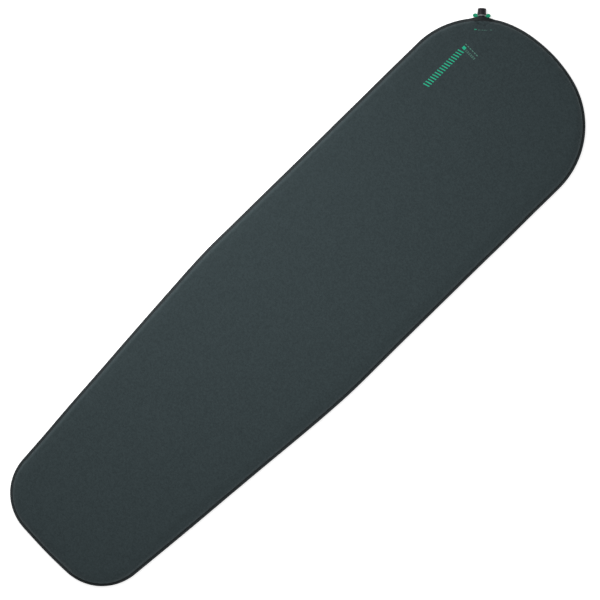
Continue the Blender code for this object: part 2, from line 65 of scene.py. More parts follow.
# Pad outline, as the frame has it but with a softer shoulder and a wandering edge
LENGTH = HIGH.y - LOW.y
WIDTH = HIGH.x - LOW.x
THICKNESS = HIGH.z - FLOOR_Z
MIDDLE = FLOOR_Z + THICKNESS / 2
HEAD_RADIUS = 0.375
HEAD_CORNER_RADIUS = 0.224
SHOULDER_RADIUS = 1.8
TAPER_HALF_WIDTH = 0.1943
TAPER_SLOPE = 0.0805
FOOT_CORNER_RADIUS = 0.132
FOOT_RADIUS = 1.76
EDGE_PULL = 0.8 * MM  # mean inward shift of the edge
EDGE_WANDER = 1.3 * MM
EDGE_WANDER_SIZE = 150.0 * MM
EDGE_SEED = 41.7

# Pad fabric and foam, from the edge inwards
FABRIC = 0.4 * MM
FACE_THREAD = 0.9 * MM  # between two threads of the weave
BASE_THREAD = 0.8 * MM
FOAM_INSET = 8.2 * MM
FOAM_GAP = 0.3 * MM
FOAM_REACH = 3.0 * MM  # around a foam point, the fabric's lowest place counts
FOAM_GRID = 16.0 * MM  # between points of the foam's flat faces
FOAM_VALVE_GRID = 8.0 * MM  # the same behind the valve
FLANGE = 7.0 * MM
EDGE_ROUND = 12.0 * MM
# Painted highlight: a band of lighter cloth along the shoulder
SHOULDER_HIGHLIGHT_INSET = 11.3 * MM  # where the painted highlight along the shoulder is brightest
SHOULDER_HIGHLIGHT_WIDTH = 2.0 * MM
SHOULDER_HIGHLIGHT_GAIN = 1.27
WELD_GAP = 0.05 * MM  # half the slit between the two welded margins
EDGE_STEP = 5.0 * MM  # between points along the edge
CORNER_STEP = 1.8 * MM  # the same on the head corners
FACE_GRID = 8.0 * MM  # between points of the flat face
VALVE_GRID = 1.7 * MM  # the same behind the valve
ROW_SHARE = 0.866  # rows of an equilateral grid stand this share of a step apart
VALVE_REACH = 58.0 * MM  # how far from the valve its finer grid goes
INSETS = [0, 2.4, 4.8, 7.0, 7.6, 8.6, 10.0, 11.6, 13.4, 15.4, 17.6, 20.0, 22.4]  # millimetres

# Valve
VALVE_BEARING = radians(43.5)
VALVE_STAND_OFF = 3.5 * MM
TENT_HALF_WIDTH = 42.0 * MM
TENT_HEIGHT = 9.5 * MM
TENT_BULGE = 3.0 * MM
STEADY_REACH = 1.2  # in tent half widths: how far from the valve the edge doesn't wander
# Painted shade on the cloth over the valve base
VALVE_SHADE_START = 0.12  # share of the tent where the painted shade over the valve base ends
VALVE_SHADE_DEPTH = 4.5 * MM  # how far it reaches past the margin
VALVE_SHADE_BLUR = 1.0 * MM
VALVE_SHADE_FADE = 0.25  # share of the tent's further rise over which it comes in
SOCKET_RADIUS = 8.8 * MM
SOCKET_END = -19.0 * MM
SOCKET_SPARE = 1.8 * MM  # how far behind the socket's end the fabric is off it
SOCKET_DROP = 1.4 * MM  # length over which it comes down there
FAR_AWAY = 9.0

# Unevenness of the fabric, creases and printed marks
WAVE_HEIGHT = 0.4 * MM  # of the top face
WAVE_SIZE = 70.0 * MM
RIPPLE_HEIGHT = 0.7 * MM  # of the welded margin
RIPPLE_SIZE = 55.0 * MM
RIPPLE_SEED = 3.5
RIM_LIP = 0.5 * MM  # the lower face stands out this much past the top one
HOLLOW_DEPTH = 1.6 * MM  # of the top face over the foam's notch
HOLLOW_CENTRE = -24.0 * MM
HOLLOW_SIZE = (30.0 * MM, 7.0 * MM)  # across the valve's axis and along it
CREASES_BEGIN = -13.0 * MM  # along the valve's axis
# Creases of the top face, each from and to (across, along the valve's axis), depth and width
CREASES = [
    ((16.5, -14), (7, -18), 4.6, 2.0),
    ((7, -18), (-9, -22.5), 4.4, 2.4),
    ((-9, -22.5), (-24, -12.5), 1.6, 2.8),
]
NOTCH = (88.0 * MM, 62.0 * MM)  # in the foam behind the valve: width, and twice the depth
INK_HEIGHT = 0.07 * MM
INK_DEPTH = 0.15 * MM
INK_CELLS = (6, 3)  # faces of a printed patch, along its two sides

# Knob, collar and spring, in millimetres, with heights along the valve's axis
TURNED_STEPS = 96  # round a turned piece
KNOB_BOTTOM = 5.3
KNOB_TOP = 21.3
KNOB_WALL = 10.2  # what lies further out belongs to the fluted wall
FLUTES = 18
FLUTE_STEPS = 12
FLUTE_DEPTH = 0.65
FLUTE_SHARE = 0.4  # of the pitch that a flute takes
NECK_TOP = 13.0
SLEEVE_END = -9.5
CAM_TOP = -5.6
WING_CENTRE = (16.2, 3.6)
WING_HALF_SIZE = (6.3, 4.8)
WING_HALF_THICKNESS = 1.9
WING_SQUARENESS = 2.5
POPPET_LIFT = 3.5
SPRING_BOTTOM = -14.4
SPRING_TOP = -8.1

# Light and camera
HORIZON_LIGHT = 1.02  # as bright as the floor, so low views show no edge between them
SKY_LIGHT = 0.325
SKY_FADE = (0.15, 0.35)  # heights in the sky between which one turns into the other
CAMERA_PLACE = (-0.0005, 0.0067, MIDDLE + 4.222)
CAMERA_RIGHT = Vector((0.6998, 0.7143, 0.0)).normalized()

# Simulation
SIMULATED_FRAMES = 20
COMES_FREE = 3.0 * MM  # from the margin to fully free fabric
BOND_DEPTH = 14.0 * MM  # from the round edge to the full foam bond
BOND_PATCH_SIZE = 45.0 * MM
MOST_SWELL = 3.0 * MM
INWARD_SHARE = 0.15  # the foam resists the fabric, so little of an inward move is kept


# Outline

def outline_arcs():
    """Arcs of the +X half, head to foot: centre, radius, first and last bearing of the normal."""
    half_length = LENGTH / 2
    half_width = WIDTH / 2
    head_y = half_length - HEAD_RADIUS
    corner_x = half_width - HEAD_CORNER_RADIUS
    corner_y = head_y + sqrt((HEAD_RADIUS - HEAD_CORNER_RADIUS) ** 2 - corner_x**2)
    head_end = atan2(corner_x, corner_y - head_y)

    side = Vector((1, -TAPER_SLOPE)).normalized()
    along = Vector((side.y, -side.x))
    side_bearing = atan2(side.x, side.y)
    start = Vector((TAPER_HALF_WIDTH, -half_length))
    shoulder_x = half_width - SHOULDER_RADIUS
    shoulder_y = start.y - (SHOULDER_RADIUS + side.x * (shoulder_x - start.x)) / side.y

    foot = Vector((0, FOOT_RADIUS - half_length))
    reach = FOOT_RADIUS - FOOT_CORNER_RADIUS
    offset = start - side * FOOT_CORNER_RADIUS - foot
    half_b = offset.dot(along)
    step = -half_b + sqrt(half_b**2 - offset.length_squared + reach**2)
    corner = foot + offset + along * step
    foot_bearing = acos((corner.y - foot.y) / reach)

    return [
        (Vector((0, head_y)), HEAD_RADIUS, 0.0, head_end),
        (Vector((corner_x, corner_y)), HEAD_CORNER_RADIUS, head_end, pi / 2),
        (Vector((shoulder_x, shoulder_y)), SHOULDER_RADIUS, pi / 2, side_bearing),
        (corner, FOOT_CORNER_RADIUS, side_bearing, foot_bearing),
        (foot, FOOT_RADIUS, foot_bearing, pi),
    ]


def half_outline():
    """Evenly spaced (point, normal) pairs down the +X half, head to foot."""
    pairs = []
    for centre, radius, first, last in outline_arcs():
        step = CORNER_STEP if radius == HEAD_CORNER_RADIUS else EDGE_STEP
        count = max(1, ceil(radius * abs(last - first) / step))
        bend = []
        for i in range(count + 1):
            bearing = first + (last - first) * i / count
            normal = Vector((sin(bearing), cos(bearing)))
            bend.append((centre + normal * radius, normal))
        if pairs:
            start, normal = pairs[-1]
            run = bend[0][0] - start
            count = ceil(run.length / EDGE_STEP)
            pairs += [(start + run * i / count, normal) for i in range(1, count)]
            if run.length < 0.1 * MM:
                bend = bend[1:]
        pairs += bend
    return pairs


def wander(plan, size, seed):
    """Smooth noise from -1 to 1 over the plan, with features of about the given size."""
    return np.array([noise.noise(Vector((x / size, y / size, seed))) for x, y in plan])


def whole_outline():
    """Arrays of points, outward normals and distances from the valve, counter-clockwise."""
    right = half_outline()
    left = [(Vector((-p.x, p.y)), Vector((-n.x, n.y))) for p, n in right]
    loop = left + right[-2:0:-1]
    points = np.array([tuple(p) for p, n in loop])
    normals = np.array([tuple(n) for p, n in loop])
    centre = np.array([-(WIDTH / 2 - HEAD_CORNER_RADIUS), outline_arcs()[1][0].y])
    bearing = np.arctan2(-normals[:, 0], normals[:, 1])
    away = (bearing - VALVE_BEARING) * HEAD_CORNER_RADIUS
    on_corner = np.abs(np.hypot(*(points - centre).T) - HEAD_CORNER_RADIUS) < 0.1 * MM
    from_valve = np.where(on_corner, away, FAR_AWAY)
    loose = np.clip(np.abs(from_valve) / TENT_HALF_WIDTH - STEADY_REACH, 0, 1)
    pull = EDGE_PULL + EDGE_WANDER * wander(points, EDGE_WANDER_SIZE, EDGE_SEED)
    return points - normals * (loose * pull)[:, None], normals, from_valve


POINTS, NORMALS, FROM_VALVE = whole_outline()


def valve_frame():
    """The valve's axes: local Z out of the pad, local Y up, origin at the base's outer face."""
    outward = Vector((-sin(VALVE_BEARING), cos(VALVE_BEARING), 0))
    up = Vector((0, 0, 1))
    corner = outline_arcs()[1][0]
    origin = Vector((-corner.x, corner.y, MIDDLE))
    origin += outward * (HEAD_CORNER_RADIUS + VALVE_STAND_OFF)
    turn = Matrix((up.cross(outward), up, outward)).transposed().to_4x4()
    return Matrix.Translation(origin) @ turn


VALVE = valve_frame()


# Materials

class Nodes:
    """A material's node tree, with short calls to add and link nodes."""

    def __init__(self, name, roughness, metallic=0.0):
        self.material = bpy.data.materials.new(name)
        self.material.use_nodes = True
        self.tree = self.material.node_tree
        self.shader = self.tree.nodes["Principled BSDF"]
        self.shader.inputs["Base Color"].default_value = (0.5, 0.5, 0.5, 1.0)
        self.shader.inputs["Roughness"].default_value = roughness
        self.shader.inputs["Metallic"].default_value = metallic
        self.place = self.tree.nodes.new("ShaderNodeTexCoord").outputs["Object"]

    def add(self, kind, inputs=(), **settings):
        node = self.tree.nodes.new(kind)
        for key, value in settings.items():
            setattr(node, key, value)
        for key, value in dict(inputs).items():
            if isinstance(value, bpy.types.NodeSocket):
                self.tree.links.new(value, node.inputs[key])
            else:
                node.inputs[key].default_value = value
        return node

    def noise(self, scale, detail=2.0, roughness=0.5, stretch=None):
        place = self.place
        if stretch:
            place = self.add("ShaderNodeMapping", {"Vector": place, "Scale": stretch}).outputs[0]
        inputs = {"Vector": place, "Scale": scale, "Detail": detail, "Roughness": roughness}
        return self.add("ShaderNodeTexNoise", inputs).outputs["Fac"]

    def wave(self, period, direction):
        """Bands with a period in metres: the texture has 20 radians to a unit of scaled place."""
        inputs = {"Vector": self.place, "Scale": 2 * pi / (20 * period), "Distortion": 0.0}
        return self.add("ShaderNodeTexWave", inputs, bands_direction=direction).outputs["Fac"]

    def math(self, operation, first, second=0.0):
        return self.add("ShaderNodeMath", {0: first, 1: second}, operation=operation).outputs[0]

    def total(self, *parts):
        """Sum of sockets, each with its share."""
        made = None
        for socket, share in parts:
            part = self.math("MULTIPLY", socket, share)
            made = part if made is None else self.math("ADD", made, part)
        return made

    def spread(self, value, low=0.3, high=0.7, to_low=0.0, to_high=1.0):
        """Stretch a value's usual range over another one."""
        inputs = {
            "Value": value, "From Min": low, "From Max": high, "To Min": to_low, "To Max": to_high
        }
        return self.add("ShaderNodeMapRange", inputs).outputs[0]

    def between(self, share, first, second):
        """Mix of two colours, each a tuple or a socket."""
        inputs = {"Factor": share}
        for index, end in ((6, first), (7, second)):
            inputs[index] = end if isinstance(end, bpy.types.NodeSocket) else (*end, 1.0)
        return self.add("ShaderNodeMix", inputs, data_type="RGBA").outputs[2]

    def painted(self, name):
        """Share that the mesh holds at its points, 0 where it holds none."""
        return self.add("ShaderNodeAttribute", attribute_name=name).outputs["Fac"]

    def colour(self, socket):
        self.tree.links.new(socket, self.shader.inputs["Base Color"])

    def roughness(self, socket):
        self.tree.links.new(socket, self.shader.inputs["Roughness"])

    def bump(self, height, depth, strength=1.0):
        inputs = {"Height": height, "Distance": depth, "Strength": strength}
        node = self.add("ShaderNodeBump", inputs)
        self.tree.links.new(node.outputs[0], self.shader.inputs["Normal"])

    def set(self, **values):
        for key, value in values.items():
            self.shader.inputs[key.replace("_", " ")].default_value = value


def woven(name, dark, light, valve_shade, thread, roughness, sheen):
    """Plain weave: crossed threads, a mottled dye and a soft bloom at grazing angles.

    It is painted lighter along the pad's shoulder as a highlight, and darker over the valve base as
    shade.
    """
    nodes = Nodes(name, roughness)
    across = nodes.wave(thread, "X")
    along = nodes.wave(thread, "Y")
    weave = nodes.math("MAXIMUM", across, along)
    mottle = nodes.noise(230.0, 3.0, 0.65)
    patches = nodes.noise(30.0, 2.0, 0.5)
    grain = nodes.noise(1500.0, 1.0, 0.5)
    tone = nodes.total((mottle, 0.62), (patches, 0.06), (weave, 0.17), (grain, 0.15))
    share = nodes.spread(tone, 0.36)
    cloth = nodes.between(share, dark, light)
    # Painted highlight: the same cloth made lighter along the shoulder
    highlit = nodes.between(share, *([SHOULDER_HIGHLIGHT_GAIN * c for c in end] for end in (dark, light)))
    cloth = nodes.between(nodes.painted("painted_shoulder_highlight"), cloth, highlit)
    # Painted shade over the valve base
    nodes.colour(nodes.between(nodes.painted("painted_valve_shade"), cloth, nodes.between(share, *valve_shade)))
    nodes.roughness(nodes.spread(mottle, 0.3, 0.7, roughness - 0.05, roughness + 0.05))
    relief = nodes.math("ADD", weave, nodes.math("MULTIPLY", mottle, 0.8))
    nodes.bump(relief, 0.12 * MM, 0.6)
    nodes.set(Sheen_Weight=sheen, Sheen_Roughness=0.5, Specular_IOR_Level=0.15)
    return nodes.material


def pressed(name, dark, light, valve_shade):
    """Heat-pressed weld margin: the same cloth, flattened, darker and a little glossier."""
    nodes = Nodes(name, 0.6)
    ribs = nodes.noise(260.0, 2.0, 0.5)
    specks = nodes.noise(1400.0, 2.0, 0.6)
    tone = nodes.total((ribs, 0.6), (specks, 0.4))
    share = nodes.spread(tone)
    margin = nodes.between(share, dark, light)
    # Painted shade over the valve base
    nodes.colour(nodes.between(nodes.painted("painted_valve_shade"), margin, nodes.between(share, *valve_shade)))
    nodes.roughness(nodes.spread(ribs, 0.3, 0.7, 0.55, 0.7))
    nodes.bump(tone, 0.08 * MM, 0.5)
    nodes.set(Specular_IOR_Level=0.2)
    return nodes.material


def moulded(name, dark, light, roughness, specular=0.5):
    """Injection-moulded plastic: faint flow marks and a spark-eroded grain."""
    nodes = Nodes(name, roughness)
    flow = nodes.noise(140.0, 3.0, 0.5, (1.0, 1.0, 3.0))
    grain = nodes.noise(3200.0, 2.0, 0.6)
    tone = nodes.total((flow, 0.7), (grain, 0.3))
    nodes.colour(nodes.between(nodes.spread(tone), dark, light))
    nodes.roughness(nodes.spread(tone, 0.3, 0.7, roughness - 0.06, roughness + 0.08))
    nodes.bump(grain, 0.03 * MM, 0.5)
    nodes.set(Specular_IOR_Level=specular)
    return nodes.material


def cellular(name, dark, light):
    """Open-cell foam: small pores in a soft yellow slab."""
    nodes = Nodes(name, 0.95)
    cells = nodes.add("ShaderNodeTexVoronoi", {"Vector": nodes.place, "Scale": 900.0})
    patches = nodes.noise(30.0, 3.0, 0.5)
    tone = nodes.math("MULTIPLY", cells.outputs["Distance"], nodes.math("ADD", patches, 0.5))
    nodes.colour(nodes.between(nodes.spread(tone, 0.1, 0.6), dark, light))
    nodes.bump(cells.outputs["Distance"], 0.3 * MM, 0.8)
    return nodes.material


def brushed(name, dark, light):
    """Drawn spring wire with fine marks."""
    nodes = Nodes(name, 0.3, 1.0)
    marks = nodes.noise(2500.0, 2.0, 0.6)
    nodes.colour(nodes.between(nodes.spread(marks), dark, light))
    nodes.roughness(nodes.spread(marks, 0.3, 0.7, 0.22, 0.4))
    return nodes.material


def printed(name, dark, light):
    """Screen-printed ink that lets the weave show through."""
    nodes = Nodes(name, 0.6)
    cover = nodes.noise(900.0, 3.0, 0.6)
    nodes.colour(nodes.between(nodes.spread(cover, 0.3, 0.65), dark, light))
    weave = nodes.math("MAXIMUM", nodes.wave(FACE_THREAD, "X"), nodes.wave(FACE_THREAD, "Y"))
    nodes.bump(weave, 0.05 * MM, 0.4)
    nodes.set(Specular_IOR_Level=0.2)
    return nodes.material


# Painted shade over the valve base, for the top and the lower face
FACE_VALVE_SHADE = ((0.009, 0.012, 0.013), (0.016, 0.021, 0.023))
BASE_VALVE_SHADE = ((0.003, 0.004, 0.004), (0.007, 0.008, 0.009))
FACE_CLOTH = woven(
    "face_cloth", (0.0225, 0.0335, 0.0365), (0.0415, 0.0585, 0.0625), FACE_VALVE_SHADE, FACE_THREAD,
    roughness=0.85, sheen=0.05,
)
FACE_WELD = pressed("face_weld", (0.018, 0.024, 0.026), (0.030, 0.038, 0.041), FACE_VALVE_SHADE)
BASE_CLOTH = woven(
    "base_cloth", (0.009, 0.011, 0.012), (0.017, 0.020, 0.022), BASE_VALVE_SHADE, BASE_THREAD,
    roughness=0.9, sheen=0.05,
)
BASE_WELD = pressed("base_weld", (0.004, 0.005, 0.005), (0.009, 0.010, 0.011), BASE_VALVE_SHADE)
FOAM = cellular("foam", (0.52, 0.40, 0.20), (0.80, 0.68, 0.42))
BLACK = moulded("black_plastic", (0.006, 0.0045, 0.007), (0.012, 0.010, 0.014), 0.4, 0.3)
GREEN = moulded("green_plastic", (0.002, 0.270, 0.130), (0.003, 0.370, 0.190), 0.38, 0.3)
GREY = moulded("grey_plastic", (0.170, 0.178, 0.186), (0.235, 0.245, 0.255), 0.34)
RUBBER = moulded("rubber", (0.014, 0.014, 0.015), (0.026, 0.026, 0.027), 0.7)
SILICONE = moulded("silicone", (0.48, 0.48, 0.45), (0.60, 0.60, 0.57), 0.5)
STEEL = brushed("steel", (0.45, 0.45, 0.46), (0.65, 0.65, 0.66))
INK = printed("green_ink", (0.006, 0.300, 0.165), (0.020, 0.520, 0.300))
FAINT_INK = printed("faint_ink", (0.040, 0.140, 0.105), (0.110, 0.240, 0.195))


# Pad fabric

def tent_at(distance):
    """Rise of the margin over the valve base: 1 beside the valve, 0 beyond the base's tips."""
    near = np.abs(distance) < TENT_HALF_WIDTH
    return np.where(near, (1 + np.cos(pi * distance / TENT_HALF_WIDTH)) / 2, 0.0)


def beside_valve(plan):
    """Distances of plan points across the valve's axis and along it, outwards."""
    offset = plan - np.array(VALVE.translation.xy)
    return offset @ np.array(VALVE.col[0].xy), offset @ np.array(VALVE.col[2].xy)


def triangular_grid(step):
    """Plan points of equilateral triangles over the pad's box."""
    rows = int(LENGTH / (step * ROW_SHARE))
    columns = int(WIDTH / step)
    return np.array([
        ((column + 0.5 * (row % 2) - columns / 2) * step, (row - rows / 2) * step * ROW_SHARE)
        for row in range(rows + 1) for column in range(columns + 1)
    ])


def inset_of(plan):
    """How far each plan point lies inside the outline, below zero outside."""
    depth = np.empty(len(plan))
    for start in range(0, len(plan), 2000):
        part = plan[start:start + 2000]
        offset = part[:, None] - POINTS[None]
        nearest = (offset**2).sum(2).argmin(1)
        picked = offset[np.arange(len(part)), nearest]
        depth[start:start + 2000] = -(picked * NORMALS[nearest]).sum(1)
    return depth


def plan_points(insets, grid, valve_grid):
    """Rings at the insets and a triangular grid inside them, finer behind the valve.

    Returns the plan points, their inset from the outline, and their share of the tent.
    """
    tent = tent_at(FROM_VALVE)
    plan, depths, tents = [], [], []
    for inset in insets:
        bulge = TENT_BULGE * tent * max(0.0, 1 - inset / (FLANGE + EDGE_ROUND))
        plan.append(POINTS - NORMALS * (inset - bulge)[:, None])
        depths.append(np.full(len(POINTS), inset))
        tents.append(tent)
    for step, behind_valve in ((grid, False), (valve_grid, True)):
        points = triangular_grid(step)
        across, along = beside_valve(points)
        points = points[(np.hypot(across, along) < VALVE_REACH) == behind_valve]
        depth = inset_of(points)
        inside = depth > insets[-1] + 0.6 * step
        plan.append(points[inside])
        depths.append(depth[inside])
        tents.append(np.zeros(inside.sum()))
    return np.concatenate(plan), np.concatenate(depths), np.concatenate(tents)


def triangulate(plan):
    """Triangles of the plan points inside the outline."""
    rim = list(range(len(POINTS)))
    made = geometry.delaunay_2d_cdt([Vector(p) for p in plan], [], [rim], 1, 1e-7)
    source = [ids[0] for ids in made[3]]
    return [[source[i] for i in face] for face in made[2]]


def new_piece(name, places, faces, *materials):
    """A mesh object in the scene, made of points and faces."""
    mesh = bpy.data.meshes.new(name)
    mesh.from_pydata([tuple(place) for place in places], [], faces)
    mesh.update()
    for material in materials:
        mesh.materials.append(material)
    piece = bpy.data.objects.new(name, mesh)
    bpy.context.scene.collection.objects.link(piece)
    return piece


def bake(piece, sharp=None):
    """Keep what the modifiers make, shade it smooth and leave edges over an angle sharp."""
    bpy.context.view_layer.update()
    evaluated = piece.evaluated_get(bpy.context.evaluated_depsgraph_get())
    mesh = bpy.data.meshes.new_from_object(evaluated)
    piece.modifiers.clear()
    piece.data = mesh
    mesh.shade_smooth()
    if sharp:
        mesh.set_sharp_from_angle(angle=radians(sharp))
    return piece


def vertex_places(mesh):
    """Array of a mesh's points."""
    places = np.empty(len(mesh.vertices) * 3, np.float32)
    mesh.vertices.foreach_get("co", places)
    return places.reshape(-1, 3).astype(float)


def vertex_normals(mesh):
    """Array of the normals at a mesh's points."""
    normals = np.empty(len(mesh.vertices) * 3, np.float32)
    mesh.vertex_normals.foreach_get("vector", normals)
    return normals.reshape(-1, 3).astype(float)


def inflate(piece, insets, seed):
    """Blow a face up against its welded margin and its foam bond, and return the places.

    The bond is patchy, so the face swells a little unevenly.
    """
    held = piece.vertex_groups.new(name="held")
    free = np.clip((insets - FLANGE) / COMES_FREE, 0, 1)
    bonded = np.clip((insets - FLANGE - EDGE_ROUND) / BOND_DEPTH, 0, 1)
    patchy = 0.5 + 0.5 * wander(vertex_places(piece.data)[:, :2], BOND_PATCH_SIZE, seed)
    pins = np.maximum(1 - free, bonded * (0.012 + 0.02 * patchy))
    for index, pin in enumerate(pins):
        held.add([index], pin, "REPLACE")
    cloth = piece.modifiers.new("inflate", "CLOTH")
    settings = cloth.settings
    settings.quality = 5
    settings.mass = 0.1
    settings.tension_stiffness = settings.compression_stiffness = 20.0
    settings.shear_stiffness = 8.0
    settings.bending_stiffness = 0.05
    settings.shrink_min = -0.012
    settings.use_pressure = True
    settings.uniform_pressure_force = 3.0
    settings.effector_weights.gravity = 0.0
    settings.vertex_group_mass = "held"
    cloth.point_cache.frame_start = 1
    cloth.point_cache.frame_end = SIMULATED_FRAMES
    for number in range(1, SIMULATED_FRAMES + 1):
        bpy.context.scene.frame_set(number)
    evaluated = piece.evaluated_get(bpy.context.evaluated_depsgraph_get())
    places = vertex_places(evaluated.data)
    piece.modifiers.remove(cloth)
    bpy.context.scene.frame_set(1)
    return places


def from_segment(across, along, start, end):
    """Distances of points from a straight segment, all beside the valve and in metres."""
    start, end = (np.array(point) * MM for point in (start, end))
    run = end - start
    offset = np.stack([across, along], 1) - start
    share = np.clip(offset @ run / (run @ run), 0, 1)
    return np.linalg.norm(offset - share[:, None] * run, axis=1)


def sink_behind_valve(plan, rise):
    """Lower the top face into the foam's notch, with a V of creases, and rest it on the socket."""
    across, along = beside_valve(plan)
    wide, deep = HOLLOW_SIZE
    hollow = np.exp(-((along - HOLLOW_CENTRE) / deep) ** 2 - (across / wide) ** 2)
    rise = rise - HOLLOW_DEPTH * hollow
    for start, end, depth, width in CREASES:
        near = from_segment(across, along, start, end) / (width * MM)
        rise = rise - depth * MM * np.exp(-(near**2))
    over_socket = np.sqrt(np.maximum(0.0, (SOCKET_RADIUS + 2 * FABRIC) ** 2 - across**2))
    behind = np.clip((along - SOCKET_END + SOCKET_SPARE) / SOCKET_DROP, 0, 1)
    return np.where(along > -VALVE_REACH, np.maximum(rise, over_socket * behind), rise)


def swollen(piece, insets, seed):
    """Places of a face's points after the cloth simulation, none far from where it was."""
    places = vertex_places(piece.data)
    outwards = vertex_normals(piece.data)
    swell = inflate(piece, insets, seed) - places
    sunk = np.minimum((swell * outwards).sum(1), 0)
    swell -= outwards * (sunk * (1 - INWARD_SHARE))[:, None]
    length = np.maximum(np.linalg.norm(swell, axis=1), 1e-9)
    return places + swell * np.minimum(1, MOST_SWELL / length)[:, None]


def paint(mesh, name, shares):
    """Keep a share at each point of a mesh for its material."""
    layer = mesh.attributes.new(name, "FLOAT", "POINT")
    layer.data.foreach_set("value", shares.astype(np.float32))


def mark_zones(mesh, insets, tents):
    """Give a face its welded margin, and its shares of painted shoulder highlight and of painted
    valve shade.
    """
    for polygon in mesh.polygons:
        polygon.material_index = int(insets[list(polygon.vertices)].mean() < FLANGE)
    # Painted highlight in a band along the shoulder
    paint(mesh, "painted_shoulder_highlight", np.exp(-(((insets - SHOULDER_HIGHLIGHT_INSET) / SHOULDER_HIGHLIGHT_WIDTH) ** 2)))
    # Painted shade over the valve base, coming in as the fabric rises over it
    over_base = (tents - VALVE_SHADE_START) / (1 - VALVE_SHADE_START)
    in_valve_shade = np.clip((FLANGE + VALVE_SHADE_DEPTH * over_base - insets) / VALVE_SHADE_BLUR + 0.5, 0, 1)
    paint(mesh, "painted_valve_shade", in_valve_shade * np.clip(over_base / VALVE_SHADE_FADE, 0, 1))


def relax_creases(piece, plan):
    """Smooth the top face behind the valve, so that its creases have soft edges."""
    across, along = beside_valve(plan)
    behind = np.flatnonzero((np.hypot(across, along) < VALVE_REACH) & (along < CREASES_BEGIN))
    piece.vertex_groups.new(name="creased").add([int(i) for i in behind], 1.0, "REPLACE")
    relax = piece.modifiers.new("relax", "SMOOTH")
    relax.vertex_group = "creased"
    relax.iterations = 2


def fabric_face(name, up, seed, cloth, weld):
    """One fabric face with its welded margin: up is 1 for the top face, -1 for the lower one."""
    plan, insets, tents = plan_points([inset * MM for inset in INSETS], FACE_GRID, VALVE_GRID)
    share = np.clip((insets - FLANGE) / EDGE_ROUND, 0, 1)
    low = WELD_GAP + TENT_HEIGHT * tents
    high = THICKNESS / 2 - FABRIC
    rise = low + (high - low) * np.sqrt(1 - (1 - share) ** 2)
    faces = triangulate(plan)
    if up < 0:
        faces = [face[::-1] for face in faces]
    piece = new_piece(name, np.c_[plan, MIDDLE + up * rise], faces, cloth, weld)
    places = swollen(piece, insets, seed)
    plan = places[:, :2]
    rise = up * (places[:, 2] - MIDDLE)
    if up > 0:
        rise += WAVE_HEIGHT * share * (0.5 + 0.5 * wander(plan, WAVE_SIZE, seed))
        rise = sink_behind_valve(plan, rise)
    else:
        rise = np.minimum(rise, high)
    margin = np.clip(1 - insets / FLANGE, 0, 1) * (tents == 0)
    ripple = RIPPLE_HEIGHT * margin * wander(plan, RIPPLE_SIZE, RIPPLE_SEED)
    places[:, 2] = MIDDLE + up * rise + ripple
    if up < 0:
        rim = slice(0, len(POINTS))
        places[rim, :2] += NORMALS * RIM_LIP
    piece.data.vertices.foreach_set("co", places.astype(np.float32).ravel())
    mark_zones(piece.data, insets, tents)
    if up > 0:
        relax_creases(piece, plan)
    thicken = piece.modifiers.new("thickness", "SOLIDIFY")
    thicken.thickness = FABRIC
    thicken.offset = 1.0
    bake(piece, 50)
    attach(piece, "pad")
    return piece


top_face = fabric_face("pad_top_face", 1, 11.3, FACE_CLOTH, FACE_WELD)
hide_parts("top_fabric")
base_face = fabric_face("pad_base_face", -1, 27.9, BASE_CLOTH, BASE_WELD)
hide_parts("bottom_fabric")


# Foam

def surface_of(piece):
    """Search tree of a piece's faces."""
    return BVHTree.FromObject(piece, bpy.context.evaluated_depsgraph_get())


TOP_SURFACE, BASE_SURFACE = surface_of(top_face), surface_of(base_face)


def room_under(surface, plan, reaches, up):
    """Height over the middle plane that a fabric face leaves, at each plan point and around it."""
    room = []
    for (x, y), reach in zip(plan, reaches):
        heights = []
        for i, j in ((0, 0), (1, 0), (-1, 0), (0, 1), (0, -1)):
            start = Vector((x + i * reach, y + j * reach, MIDDLE + up))
            hit = surface.ray_cast(start, Vector((0, 0, -up)))[0]
            heights.append(up * (hit.z - MIDDLE))
        room.append(min(heights))
    return np.maximum(np.array(room) - FABRIC - FOAM_GAP, 0.2 * MM)


def foam_slab():
    """Foam slab with round edges under both fabric faces, notched behind the valve."""
    half_height = THICKNESS / 2 - FABRIC - FOAM_GAP
    turns = [pi / 2 * i / 8 for i in range(9)]
    insets = [FOAM_INSET + EDGE_ROUND * (1 - cos(turn)) for turn in turns]
    plan, depths, _ = plan_points(insets, FOAM_GRID, FOAM_VALVE_GRID)
    share = np.clip((depths - FOAM_INSET) / EDGE_ROUND, 0, 1)
    rise = half_height * np.sqrt(1 - (1 - share) ** 2)
    upper = triangulate(plan)
    rim = len(POINTS)
    lower = [[i if i < rim else i + len(plan) - rim for i in face[::-1]] for face in upper]
    reaches = np.clip(depths - FOAM_INSET, 0.5 * MM, FOAM_REACH)
    above = np.minimum(rise, room_under(TOP_SURFACE, plan, reaches, 1))
    below = np.minimum(rise, room_under(BASE_SURFACE, plan, reaches, -1))
    places = np.r_[np.c_[plan, MIDDLE + above], np.c_[plan, MIDDLE - below][rim:]]
    slab = new_piece("pad_foam", places, upper + lower, FOAM)
    bpy.ops.mesh.primitive_cube_add(size=1.0)
    notch = bpy.context.object
    notch.matrix_world = VALVE @ Matrix.Diagonal((NOTCH[0], 2 * THICKNESS, NOTCH[1], 1))
    cut = slab.modifiers.new("notch", "BOOLEAN")
    cut.operation = "DIFFERENCE"
    cut.solver = "EXACT"
    cut.object = notch
    bake(slab, 40)
    bpy.data.objects.remove(notch)
    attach(slab, "pad")
    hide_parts("foam_core")


foam_slab()


# Printed marks

def height_of_top(x, y):
    """Height of the top face's outer side at a plan point."""
    hit = TOP_SURFACE.ray_cast(Vector((x, y, 1.0)), Vector((0, 0, -1)))[0]
    return hit.z


